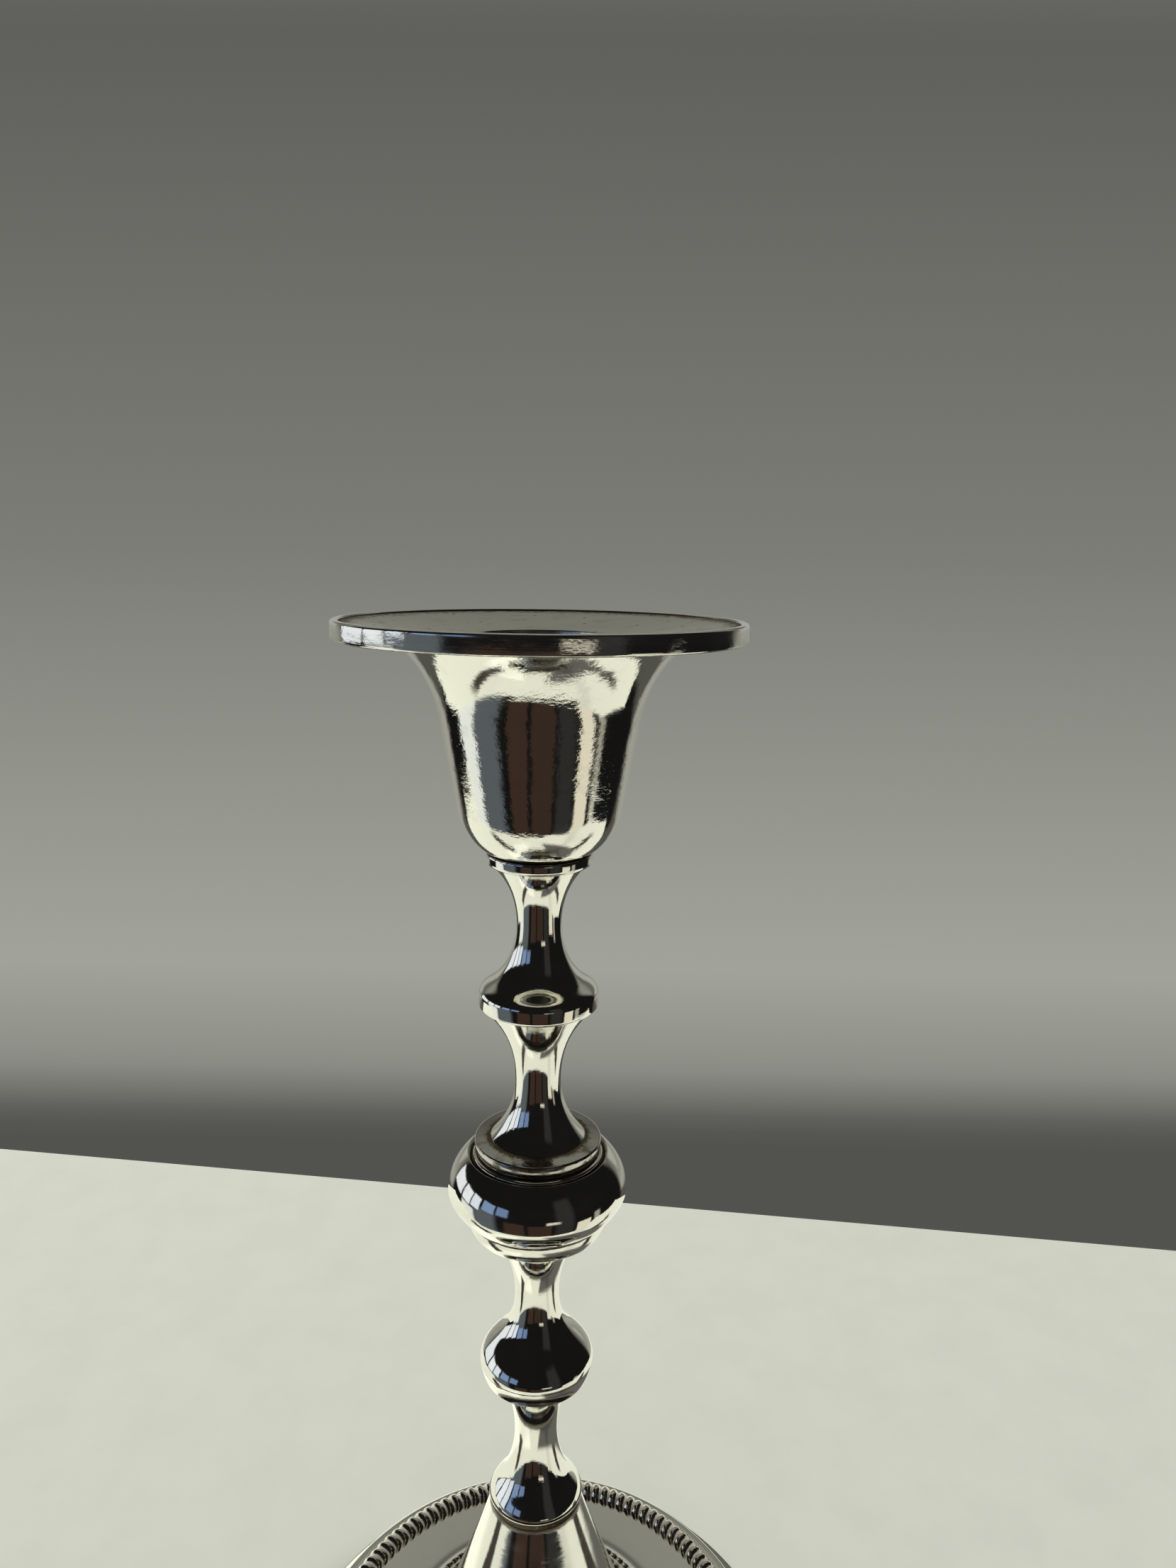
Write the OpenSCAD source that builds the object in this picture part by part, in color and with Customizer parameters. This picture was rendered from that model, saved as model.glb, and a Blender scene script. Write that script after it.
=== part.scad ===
// Weighted table candlestick with a lift-out nozzle, a turned baluster
// stem threaded on a tie rod, and a round stepped foot with a gadroon border.
// Millimetres, +Z up, origin at the middle of the underside. The stem is a
// stack: each joint's height is the one below it plus that stretch's length.

/* [Nozzle] */
// Diameter over the drip pan's rim
pan_diameter = 70; // [60:1:80]
// Height of the rim band
rim_height = 3.3; // [2.5:0.1:5]
// How far the dish falls from the rim to the candle hole
dish_drop = 3.1; // [1:0.1:4]
// Thickness of the pan's sheet
pan_sheet = 1.0; // [0.6:0.1:1.5]
// Bore of the candle tube
candle_bore = 22.4; // [20:0.1:24]
// Wall of the candle tube
tube_wall = 0.7; // [0.5:0.1:1.2]
// Depth of the candle tube below the pan's hole
tube_depth = 27.2; // [20:0.1:28]

/* [Socket cup] */
// Height of the cup from its bottom to its lip
cup_height = 37.4; // [36:0.1:42]
// Radius of the lip that the pan rests on
lip_radius = 26.8; // [24:0.1:30]
// Radius of the cup where its wall starts to flare
cup_radius = 17.6; // [16:0.1:20]
// Sheet thickness of the cup
cup_wall = 0.9; // [0.6:0.1:1.4]

/* [Stem] */
// Height of the collar under the cup
collar_height = 2.2; // [1.5:0.1:4]
// Length of the upper waist with its disc knop
upper_length = 26.6; // [22:0.1:32]
// Length of the middle waist
middle_length = 25.6; // [22:0.1:32]
// Height of the cap on the central knop
cap_height = 3.0; // [2:0.05:4.5]
// Height of the bead under the cap
bead_height = 0.9; // [0.6:0.05:2]
// Height of the central knop
knop_height = 11.4; // [9:0.1:14]
// Height of the seat under the knop
seat_height = 3.6; // [2:0.1:5]
// Length of the waist that swells into the acorn
acorn_length = 28.4; // [24:0.1:34]
// Height of the band that closes the acorn
band_height = 3.4; // [2:0.1:5]
// Length of the waist that opens into the bulb
bulb_length = 26.4; // [22:0.1:32]
// Radius of the waists
waist_radius = 4.2; // [3.8:0.1:6]
// Radius of the upper disc knop
disc_radius = 10.9; // [9:0.1:14]
// Radius of the central knop
knop_radius = 16.7; // [15:0.1:20]
// Radius of the acorn's shoulder
acorn_radius = 10.9; // [9:0.1:14]
// Radius of the bulb
bulb_radius = 9.05; // [7:0.05:11]
// Radius of the tie rod
rod_radius = 2.5; // [2:0.1:3]

/* [Foot] */
// Height of the foot to the top of its dome
foot_height = 49.5; // [44:0.1:56]
// Radius over the foot's edge wire
foot_radius = 53.4; // [50:0.1:60]
// Height of the foot's plate
plate_z = 10.6; // [9:0.1:13]
// Thickness of the felt under the foot
felt_thickness = 0.8; // [0.5:0.1:2]
// Number of lobes round the gadroon border
lobe_count = 122; // [80:2:140]
// Length of a lobe across the border
lobe_length = 4.2; // [3:0.1:6]
// Height of the gadroon border above the foot's plate
lobe_height = 2.1; // [1:0.1:3]
// How far a lobe's outer end leans round the foot, in lobe pitches
lobe_slant = 0.3; // [0:0.05:1]
// Height of the furrow between two lobes, as a share of theirs
furrow = 0.68; // [0.5:0.02:0.9]

/* [Hidden] */
$fn = 96;
// Free play between parts that slide over one another
play = 0.05;
// Joints, from the foot up
foot_bead = 1.7;
bulb_low = foot_height + foot_bead;
band_low = bulb_low + bulb_length;
acorn_low = band_low + band_height;
seat_low = acorn_low + acorn_length;
seat_top = seat_low + seat_height;
knop_top = seat_top + knop_height;
cap_low = knop_top + bead_height;
cap_top = cap_low + cap_height;
disc_low = cap_top + middle_length;
collar_low = disc_low + upper_length;
cup_low = collar_low + collar_height;
lip_low = cup_low + cup_height;
lip_top = lip_low + 0.7;
// Nozzle: the pan's underside rests on the lip
lip_rest = lip_radius - 1;
bore_r = candle_bore / 2;
tube_r = bore_r + tube_wall;
hole_r = tube_r + play;
rim_radius = pan_diameter / 2;
rim_inner = rim_radius - 1.4;
rim_lift = 0.41;
pan_slope = (dish_drop - rim_lift) / (rim_inner - hole_r);
hole_z = lip_top + pan_sheet - pan_slope * (lip_rest - hole_r);
top_z = hole_z + dish_drop;
rim_low = top_z - rim_height;
tube_low = hole_z - tube_depth;
tube_floor = 0.9;
// Rod and its hardware
rod_hole = rod_radius + 0.25;
nut_bore = rod_radius + play;
nut_height = 3.2;
nut_r = 4.6;
washer_sheet = 0.8;
cup_floor = cup_low + 1.4;
rod_top = cup_floor + 4.7;
rod_low = 4.2;
base_washer_z = 8.7;
// Foot
foot_low = felt_thickness;
foot_sheet = 1.0;
ring_out = foot_radius - 8.9;
ring_in = ring_out - lobe_length;
skirt_top = plate_z - 2.2;
skirt_in = ring_out - 0.9;
wire_top = foot_low + 1;
wire_in = foot_radius - 1.9;
cover_top = 2;

// A cubic curve through p0 and p3, sampled in n steps and without its first
// point, so that stretches follow on from one another.
function curve(p0, p1, p2, p3, n) = [
    for (i = [1 : n])
        let (t = i / n, s = 1 - t)
            s * s * s * p0 + 3 * s * s * t * p1 + 3 * s * t * t * p2 + t * t * t * p3
];

// Height of the pan's upper and under side at a radius
function pan_top(r) = hole_z + pan_slope * (r - hole_r);
function pan_under(r) = pan_top(r) - pan_sheet;

// Heights as a share of the way up the cup and the dome
function cup_z(share) = cup_low + cup_height * share;
function dome_z(share) = plate_z + (foot_height - plate_z) * share;

// A turned section: its outline from the top down, closed on the rod hole
module section(outline) {
    rotate_extrude()
        polygon(concat([[rod_hole, outline[0][1]]], outline,
                       [[rod_hole, outline[len(outline) - 1][1]]]));
}

// Dished sheet with the candle hole, held in the rim's rebate
module drip_pan() {
    color("silver")
        rotate_extrude()
            polygon([
                [hole_r, pan_top(hole_r)], [rim_inner, pan_top(rim_inner)],
                [rim_inner, pan_under(rim_inner)], [hole_r, pan_under(hole_r)]
            ]);
}

// Applied band round the pan: a plain upright face with eased edges
module pan_rim() {
    r = rim_radius;
    ease = 0.65;
    rebate = rim_inner - 1;
    color("silver")
        rotate_extrude()
            polygon(concat(
                [[rim_inner, pan_top(rim_inner)]],
                curve([rim_inner, pan_top(rim_inner)], [rim_inner + 0.1, top_z],
                      [rim_inner + 0.3, top_z], [r - ease, top_z], 5),
                curve([r - ease, top_z], [r - 0.3 * ease, top_z],
                      [r, top_z - 0.3 * ease], [r, top_z - ease], 5),
                curve([r, rim_low + 0.5], [r, rim_low + 0.2],
                      [r - 0.2, rim_low], [r - 0.5, rim_low], 5),
                [[rim_inner - 0.4, rim_low], [rebate, rim_low + 0.6],
                 [rebate, pan_under(rebate)], [rim_inner, pan_under(rim_inner)]]
            ));
}

// Tube that takes the candle, with a closed floor and a rolled mouth
module candle_tube() {
    mouth = 0.45;
    lip = tube_r + 0.6;
    chamfer = 0.35;
    color("gainsboro")
        difference() {
            union() {
                translate([0, 0, tube_low - tube_floor])
                    cylinder(r = tube_r, h = tube_depth + tube_floor + play);
                translate([0, 0, hole_z + play])
                    rotate_extrude()
                        polygon(concat([[0, 0], [lip, 0]],
                            curve([lip, 0], [lip, 0.35], [tube_r + 0.1, 0.5],
                                  [bore_r + 0.3, mouth], 5),
                            [[0, mouth]]));
            }
            translate([0, 0, tube_low]) cylinder(r = bore_r, h = tube_depth + 2);
            translate([0, 0, hole_z + play + mouth - chamfer + 0.01])
                cylinder(r1 = bore_r, r2 = bore_r + chamfer, h = chamfer);
        }
}

// Bell-shaped cup: flared lip, nearly straight wall, rounded bottom
module socket_cup() {
    r = cup_radius;
    low = 0.82 * cup_radius;
    flat = 9.0;
    color("silver")
        rotate_extrude()
            polygon(concat(
                [[lip_rest, lip_top], [lip_radius - 0.1, lip_top - 0.05],
                 [lip_radius, lip_top - 0.35], [lip_radius - 0.05, lip_low + 0.15],
                 [lip_radius - 0.3, lip_low]],
                curve([lip_radius - 0.3, lip_low], [r + 4.1, cup_z(0.952)],
                      [r + 0.76, cup_z(0.773)], [r, cup_z(0.663)], 14),
                [[low, cup_z(0.211)]],
                curve([low, cup_z(0.211)], [low - 0.41, cup_z(0.152)],
                      [flat + 3.4, cup_z(0.045)], [flat, cup_low], 10),
                [[rod_hole, cup_low], [rod_hole, cup_floor], [flat, cup_floor]],
                curve([flat, cup_floor], [flat + 2.9, cup_floor + 1.4],
                      [low - cup_wall - 0.4, cup_z(0.166)], [low - cup_wall, cup_z(0.217)], 10),
                [[r - cup_wall, cup_z(0.663)]],
                curve([r - cup_wall, cup_z(0.663)], [r - 0.3, cup_z(0.786)],
                      [r + 3.3, cup_z(0.973)], [lip_rest - 0.5, lip_low + 0.5], 14)
            ));
}

// Moulded disc under the cup
module socket_collar() {
    r = 9.5;
    color("silver")
        section(concat([[r - 0.45, cup_low]],
            curve([r - 0.45, cup_low], [r - 0.1, cup_low - 0.05],
                  [r, cup_low - 0.3], [r, cup_low - 0.6], 3),
            curve([r, collar_low + 0.8], [r, collar_low + 0.5],
                  [r - 0.2, collar_low + 0.2], [r - 0.55, collar_low], 3)));
}

// Upper waist, ending in the disc knop
module upper_baluster() {
    w = waist_radius;
    r = disc_radius;
    function z(share) = collar_low - upper_length * share;
    color("silver")
        section(concat([[8.7, z(0)]],
            curve([8.7, z(0)], [6.0, z(0.1)], [w, z(0.22)], [w, z(0.41)], 12),
            curve([w, z(0.41)], [w, z(0.61)], [w + 1.8, z(0.725)], [w + 4, z(0.8)], 12),
            curve([w + 4, z(0.8)], [w + 5.2, z(0.842)], [r, z(0.86)], [r, z(0.91)], 8),
            [[r, z(0.97)]],
            curve([r, z(0.97)], [r, z(0.985)], [r - 0.2, z(0.995)], [r - 0.5, z(1)], 3)));
}

// Middle waist, between the disc knop and the central knop's cap
module middle_baluster() {
    w = waist_radius;
    function z(share) = disc_low - middle_length * share;
    color("silver")
        section(concat([[10.05, z(0)]],
            curve([10.05, z(0)], [7.2, z(0.13)], [w, z(0.28)], [w, z(0.56)], 14),
            curve([w, z(0.56)], [w, z(0.72)], [w + 1.4, z(0.875)], [8.8, z(1)], 14)));
}

// Cap on the central knop, flat above and drawn in below
module knop_cap() {
    r = 11.76;
    color("silver")
        section(concat([[8.9, cap_top], [r - 0.4, cap_top - 0.3]],
            curve([r - 0.4, cap_top - 0.3], [r - 0.1, cap_top - 0.35],
                  [r, cap_top - 0.5], [r, cap_top - 0.8], 3),
            [[r, cap_top - 1.6], [r - 0.46, cap_low]]));
}

// Bead between the cap and the knop
module knop_bead() {
    r = 11.4;
    color("silver")
        section(concat([[r, cap_low]],
            curve([r, cap_low], [r + 0.8, cap_low - 0.1], [r + 0.9, knop_top + 0.2],
                  [r + 0.4, knop_top], 6)));
}

// Central knop, an oblate dome above and a tapering bowl below
module central_knop() {
    r = knop_radius;
    rise = 11.5;
    girth = seat_top + 4.9;
    a0 = asin((knop_top + 0.7 - girth) / rise);
    color("silver")
        section(concat([[r - 4.4, knop_top], [r - 3.85, knop_top + 0.55]],
            [for (i = [0 : 12]) let (a = a0 * (1 - i / 12)) [r * cos(a), girth + rise * sin(a)]],
            curve([r, girth], [r, girth - 1.1], [r - 1.4, girth - 3.3], [r - 2.8, seat_top + 0.5], 9),
            [[r - 3.1, seat_top + 0.3], [r - 3.35, seat_top]]));
}

// Tapering plate that the knop stands in
module knop_seat() {
    r = 13.2;
    low = 12.2;
    color("silver")
        section(concat([[r - 0.1, seat_top], [r, seat_top - 0.2]],
            curve([r, seat_top - 0.2], [r - 0.1, seat_top - 1.6],
                  [low + 0.55, seat_low + 1.2], [low, seat_low + 0.4], 5),
            curve([low, seat_low + 0.4], [low - 0.12, seat_low + 0.15],
                  [low - 0.3, seat_low + 0.05], [low - 0.6, seat_low], 2)));
}

// Lower waist, swelling into the shoulder of the acorn
module lower_baluster() {
    w = waist_radius;
    r = acorn_radius;
    function z(share) = seat_low - acorn_length * share;
    color("silver")
        section(concat([[9.6, z(0)]],
            curve([9.6, z(0)], [6.2, z(0.12)], [w, z(0.295)], [w, z(0.49)], 12),
            curve([w, z(0.49)], [w, z(0.613)], [w + 0.8, z(0.704)], [w + 3, z(0.789)], 10),
            curve([w + 3, z(0.789)], [w + 4.7, z(0.852)], [r - 0.25, z(0.912)], [r, z(0.972)], 9),
            curve([r, z(0.972)], [r + 0.03, z(0.985)], [r, z(0.995)], [r - 0.05, z(1)], 3)));
}

// Slanted band that closes the acorn
module acorn_band() {
    r = acorn_radius - 0.05;
    low = r - 0.8;
    color("silver")
        section(concat([[r, acorn_low]],
            curve([r, acorn_low], [r - 0.1, acorn_low - 1.1],
                  [low + 0.3, band_low + 1.1], [low, band_low + 0.4], 5),
            curve([low, band_low + 0.4], [low - 0.1, band_low + 0.15],
                  [low - 0.25, band_low + 0.05], [low - 0.55, band_low], 2)));
}

// Lowest waist, opening into the bulb
module bulb_stem() {
    w = waist_radius;
    r = bulb_radius;
    function z(share) = band_low - bulb_length * share;
    color("silver")
        section(concat([[8.3, z(0)]],
            curve([8.3, z(0)], [5.6, z(0.11)], [w, z(0.27)], [w, z(0.48)], 12),
            curve([w, z(0.48)], [w, z(0.6)], [w + 0.7, z(0.716)], [w + 1.8, z(0.807)], 10),
            curve([w + 1.8, z(0.807)], [w + 2.8, z(0.89)], [r - 0.35, z(0.94)], [r, z(1)], 8)));
}

// Bead where the bulb meets the foot
module bulb_bead() {
    r = bulb_radius;
    color("silver")
        section(concat([[r, bulb_low]],
            curve([r, bulb_low], [r + 0.25, bulb_low - 0.1],
                  [r + 0.25, bulb_low - 0.6], [r - 0.1, bulb_low - 0.85], 4),
            [[r - 0.1, foot_height]]));
}

// Trumpet dome and plate of the foot, one sheet
module foot_dome() {
    r = bulb_radius - 0.1;
    knee = 17.6;
    flat = 31.5;
    edge = ring_out + 0.1;
    color("silver")
        rotate_extrude()
            polygon(concat(
                [[rod_hole, foot_height], [r, foot_height]],
                curve([r, foot_height], [r + 1.2, dome_z(0.892)],
                      [knee - 4.4, dome_z(0.666)], [knee, dome_z(0.375)], 14),
                curve([knee, dome_z(0.375)], [knee + 2.3, dome_z(0.224)],
                      [flat - 6.9, dome_z(0.028)], [flat, dome_z(0.01)], 14),
                [[ring_in - 0.8, plate_z], [edge, plate_z], [edge, skirt_top],
                 [skirt_in, skirt_top], [skirt_in, plate_z - foot_sheet],
                 [ring_in - 0.9, plate_z - foot_sheet]],
                curve([flat - 0.1, plate_z - 0.6], [flat - 7.3, plate_z],
                      [knee + 1.4, dome_z(0.206)], [knee - 1, dome_z(0.365)], 12),
                curve([knee - 1, dome_z(0.365)], [knee - 5.4, dome_z(0.656)],
                      [r + 0.15, dome_z(0.882)], [r - 1.05, foot_height - foot_sheet], 12),
                [[rod_hole, foot_height - foot_sheet]]
            ));
}

// Gadroon border: a closed ring of slanted lobes on one cross-section, which
// swells to the full size on a lobe and draws in at each furrow
module gadroon_border() {
    mid = (ring_in + ring_out) / 2;
    half = lobe_length / 2;
    swell = [furrow, 1, 1];
    spot = [0, 0.3, 0.72];
    shape = [[-1, 0], [-0.93, 0.52], [-0.45, 0.95], [0.36, 0.98], [0.86, 0.6], [1, 0]];
    steps = len(swell);
    k = len(shape);
    n = lobe_count * steps;
    pts = [
        for (i = [0 : n - 1])
            let (s = i % steps)
                for (j = [0 : k - 1])
                    let (low = shape[j][1] == 0,
                         f = low ? (s == 0 ? 0.94 : 1) : swell[s],
                         r = mid + half * shape[j][0] * (low ? 1 : 0.5 + 0.5 * f),
                         z = plate_z + (low ? 0 : lobe_height * shape[j][1] * f),
                         a = (floor(i / steps) + spot[s] + lobe_slant * (r - mid) / lobe_length)
                             * 360 / lobe_count)
                        [r * cos(a), r * sin(a), z]
    ];
    faces = [
        for (i = [0 : n - 1], j = [0 : k - 1], h = [0, 1])
            let (p = i * k + j, q = i * k + (j + 1) % k,
                 u = ((i + 1) % n) * k + j, v = ((i + 1) % n) * k + (j + 1) % k)
                h == 0 ? [p, q, v] : [p, v, u]
    ];
    color("silver") polyhedron(points = pts, faces = faces);
}

// Stepped skirt: groove, flat step, ovolo and the sloping outer band
module foot_skirt() {
    r = foot_radius;
    step_r = r - 4.9;
    step_z = skirt_top - 1.2;
    color("silver")
        rotate_extrude()
            polygon(concat(
                [[skirt_in, skirt_top], [r - 8.8, skirt_top], [r - 8.7, skirt_top - 0.9],
                 [r - 7.95, skirt_top - 0.9], [r - 7.75, skirt_top + 0.1],
                 [r - 6.7, skirt_top + 0.45], [r - 6.58, skirt_top + 0.25]],
                curve([r - 6.58, skirt_top + 0.25], [step_r - 0.6, skirt_top + 0.5],
                      [step_r, skirt_top - 0.2], [step_r, step_z], 7),
                [[step_r - 0.18, step_z - 0.3]],
                curve([step_r - 0.18, step_z - 0.3], [r - 3.5, step_z - 2.3],
                      [r - 2, step_z - 3.9], [r - 0.4, wire_top], 6),
                [[r - 1.6, wire_top], [r - 5.9, skirt_top - 2.1], [skirt_in, skirt_top - 2.1]]
            ));
}

// Wire that stiffens the foot's edge
module foot_wire() {
    r = foot_radius;
    color("silver")
        rotate_extrude()
            polygon(concat([[wire_in, wire_top], [r - 0.4, wire_top]],
                curve([r - 0.4, wire_top], [r + 0.1, wire_top - 0.05], [r + 0.1, foot_low + 0.1],
                      [r - 0.35, foot_low], 6),
                [[wire_in, foot_low]]));
}

// Poured loading in the hollow of the foot
module weight() {
    top = dome_z(0.86);
    well = 8.5;
    color("dimgray")
        rotate_extrude()
            polygon([
                [rod_hole, top], [8.4, top], [11.3, dome_z(0.666)], [15.6, dome_z(0.383)],
                [17.5, dome_z(0.254)], [20.8, dome_z(0.113)], [24.8, plate_z + 0.8],
                [30.5, plate_z - 1.2], [skirt_in - 0.4, plate_z - 1.4],
                [skirt_in - 0.4, skirt_top - 2.4], [foot_radius - 6.5, skirt_top - 2.4],
                [foot_radius - 3, cover_top], [well, cover_top],
                [well, base_washer_z + washer_sheet], [rod_hole, base_washer_z + washer_sheet]
            ]);
}

// Plate that closes the foot
module base_cover() {
    color("tan")
        translate([0, 0, foot_low]) cylinder(r = wire_in - 0.1, h = cover_top - foot_low);
}

// Felt under the foot
module felt_pad() {
    color("darkgreen") cylinder(r = wire_in - 0.3, h = felt_thickness);
}

// Rod that strings the stem together
module tie_rod() {
    color("gray") translate([0, 0, rod_low]) cylinder(r = rod_radius, h = rod_top - rod_low);
}

module rod_washer(z, r) {
    translate([0, 0, z])
        difference() {
            cylinder(r = r, h = washer_sheet);
            translate([0, 0, -1]) cylinder(r = rod_hole, h = washer_sheet + 2);
        }
}

module rod_nut(z) {
    translate([0, 0, z])
        difference() {
            cylinder(r = nut_r, h = nut_height, $fn = 6);
            translate([0, 0, -1]) cylinder(r = nut_bore, h = nut_height + 2);
        }
}

module rod_washer_top() {
    color("gray") rod_washer(cup_floor, nut_r + 1);
}

module rod_nut_top() {
    color("gray") rod_nut(cup_floor + washer_sheet);
}

module rod_washer_base() {
    color("gray") rod_washer(base_washer_z, nut_r + 1.9);
}

module rod_nut_base() {
    color("gray") rod_nut(base_washer_z - nut_height);
}

drip_pan();
pan_rim();
candle_tube();
socket_cup();
socket_collar();
upper_baluster();
middle_baluster();
knop_cap();
knop_bead();
central_knop();
knop_seat();
lower_baluster();
acorn_band();
bulb_stem();
bulb_bead();
foot_dome();
gadroon_border();
foot_skirt();
foot_wire();
weight();
base_cover();
felt_pad();
tie_rod();
rod_washer_top();
rod_nut_top();
rod_washer_base();
rod_nut_base();
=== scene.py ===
"""Weighted candlestick: the turned, spun and applied pieces of the stick, their
worn plate, and the stage they stand on."""

from math import asin, atan2, cos, degrees, hypot, pi, radians, sin

import bpy
import numpy as np
from bpy.props import FloatProperty, FloatVectorProperty, IntProperty, PointerProperty
from bpy.types import Operator, Panel, PropertyGroup
from mathutils import Matrix, Vector


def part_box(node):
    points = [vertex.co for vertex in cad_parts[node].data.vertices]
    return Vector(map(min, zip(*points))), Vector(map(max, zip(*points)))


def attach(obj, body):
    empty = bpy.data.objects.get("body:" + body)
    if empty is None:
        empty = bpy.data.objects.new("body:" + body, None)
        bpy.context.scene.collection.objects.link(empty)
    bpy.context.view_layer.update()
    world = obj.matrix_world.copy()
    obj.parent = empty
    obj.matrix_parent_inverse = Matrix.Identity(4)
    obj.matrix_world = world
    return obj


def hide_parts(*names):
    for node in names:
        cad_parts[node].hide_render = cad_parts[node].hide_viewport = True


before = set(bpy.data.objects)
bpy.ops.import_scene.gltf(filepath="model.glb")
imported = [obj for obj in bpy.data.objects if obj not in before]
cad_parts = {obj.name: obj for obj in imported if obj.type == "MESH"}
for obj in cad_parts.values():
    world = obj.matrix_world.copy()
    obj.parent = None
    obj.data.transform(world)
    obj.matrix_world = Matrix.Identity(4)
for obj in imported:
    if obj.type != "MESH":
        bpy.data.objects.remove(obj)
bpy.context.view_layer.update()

bl_info = {
    "name": "Weighted candlestick",
    "version": (1, 0, 0),
    "blender": (4, 5, 0),
    "location": "3D View > Sidebar > Candlestick",
    "description": "Models a weighted plated candlestick over its CAD frame",
    "category": "Object",
}

MM = 0.001
EASE = 0.14  # how far a turned corner is broken, in millimetres
FINE, COARSE = 256, 160  # steps round the wide and the slim pieces
ROD_R = 2.75  # radius of the rod's hole through the stem, in millimetres
PLATE_Z = 10.6  # top of the foot's plate
LOBE_MID, LOBE_HALF = 42.4, 2.1  # the gadroon border's middle radius and half its width

# Where each turned piece stands on the one below it, in millimetres
Z_BEAD, Z_BULB, Z_BAND, Z_ACORN = 49.5, 51.2, 77.6, 81.0
Z_SEAT, Z_KNOP, Z_KNOP_BEAD, Z_CAP = 109.4, 113.0, 124.4, 125.3
Z_MIDDLE, Z_UPPER, Z_COLLAR, Z_CUP = 128.3, 153.9, 180.5, 182.7


# Sizes and colours

METRES = {"subtype": "DISTANCE", "unit": "LENGTH"}
COLOUR = {"size": 3, "min": 0, "max": 1, "subtype": "COLOR"}


class CandlestickNozzle(PropertyGroup):
    """Sizes of the lift-out nozzle"""

    pan_diameter: FloatProperty(
        name="Pan diameter", description="Diameter over the drip pan's rim",
        default=0.070, min=0.060, max=0.080, **METRES)
    rim_height: FloatProperty(
        name="Rim height", description="Height of the band round the pan",
        default=0.0033, min=0.0025, max=0.005, **METRES)
    dish_drop: FloatProperty(
        name="Dish", description="Fall of the dish from the rim to the candle hole",
        default=0.0031, min=0.001, max=0.004, **METRES)
    candle_bore: FloatProperty(
        name="Candle bore", description="Bore of the candle tube",
        default=0.0224, min=0.020, max=0.024, **METRES)
    tube_depth: FloatProperty(
        name="Tube depth", description="Depth of the candle tube below the pan's hole",
        default=0.0272, min=0.020, max=0.028, **METRES)


class CandlestickStem(PropertyGroup):
    """Sizes of the cup and the turned stem"""

    lip_radius: FloatProperty(
        name="Lip radius", description="Radius of the lip that the pan rests on",
        default=0.0268, min=0.024, max=0.030, **METRES)
    waist_radius: FloatProperty(
        name="Waist radius", description="Radius of the stem's waists",
        default=0.0042, min=0.0038, max=0.006, **METRES)
    knop_radius: FloatProperty(
        name="Knop radius", description="Radius of the central knop",
        default=0.0167, min=0.014, max=0.020, **METRES)
    disc_radius: FloatProperty(
        name="Disc radius", description="Radius of the upper disc knop",
        default=0.0109, min=0.009, max=0.014, **METRES)


class CandlestickFoot(PropertyGroup):
    """Sizes of the foot"""

    foot_radius: FloatProperty(
        name="Foot radius", description="Radius over the foot's edge wire",
        default=0.0534, min=0.048, max=0.060, **METRES)
    lobe_count: IntProperty(
        name="Lobes", description="Number of lobes round the gadroon border",
        default=122, min=80, max=140)
    lobe_height: FloatProperty(
        name="Lobe height", description="Height of the lobes above the foot's plate",
        default=0.0021, min=0.001, max=0.003, **METRES)
    lobe_slant: FloatProperty(
        name="Lobe slant", description="Lean of a lobe's outer end, in lobe pitches",
        default=0.3, min=0.0, max=1.0, subtype="FACTOR")


class CandlestickFinish(PropertyGroup):
    """Colours of the finishes"""

    plate_colour: FloatVectorProperty(
        name="Plate", description="Colour of the polished plate",
        default=(0.93, 0.91, 0.83), **COLOUR)
    tarnish_colour: FloatVectorProperty(
        name="Tarnish", description="Colour of the tarnish in the corners",
        default=(0.16, 0.115, 0.065), **COLOUR)
    felt_colour: FloatVectorProperty(
        name="Felt", description="Colour of the felt under the foot",
        default=(0.018, 0.060, 0.032), **COLOUR)
    floor_colour: FloatVectorProperty(
        name="Floor", description="Colour of the stage's floor",
        default=(0.66, 0.68, 0.59), **COLOUR)


# Outlines, as (radius, height) in millimetres


def curve(p0, p1, p2, p3, n=20):
    """Points of a cubic curve after its first"""
    points = []
    for i in range(1, n + 1):
        t = i / n
        s = 1 - t
        w = (s ** 3, 3 * s * s * t, 3 * s * t * t, t ** 3)
        points.append(tuple(sum(k * p[c] for k, p in zip(w, (p0, p1, p2, p3)))
                            for c in (0, 1)))
    return points


def chain(*stretches):
    """One outline from points and curves: a point is (r, z), a curve a list of
    three more, which starts at the last point"""
    points = []
    for s in stretches:
        if isinstance(s, tuple):
            points.append(s)
        else:
            points += curve(points[-1], *s[:3], *(s[3:] or [20]))
    return points


def eased(outline, ease=EASE, sharp=20):
    """The closed outline with its corners broken, each between two close points
    that keep the faces beside it flat"""
    clean = [p for i, p in enumerate(outline) if hypot(p[0] - outline[i - 1][0],
                                                       p[1] - outline[i - 1][1]) > 1e-4]
    out = []
    for i, here in enumerate(clean):
        a, b, c = Vector(clean[i - 1]), Vector(here), Vector(clean[(i + 1) % len(clean)])
        u, v = a - b, c - b
        if 180 - degrees(u.angle(v)) < sharp:
            out.append(b)
            continue
        cu, cv = min(ease, 0.4 * u.length), min(ease, 0.4 * v.length)
        p, q = b + u.normalized() * cu, b + v.normalized() * cv
        if u.length > 5 * cu:
            out.append(p + u.normalized() * cu)
        for t in (0, 0.3, 0.7, 1):
            out.append(p.lerp(b, t).lerp(b.lerp(q, t), t))
        if v.length > 5 * cv:
            out.append(q + v.normalized() * cv)
    return [(p[0], p[1]) for p in out]


# Modelling


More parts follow.
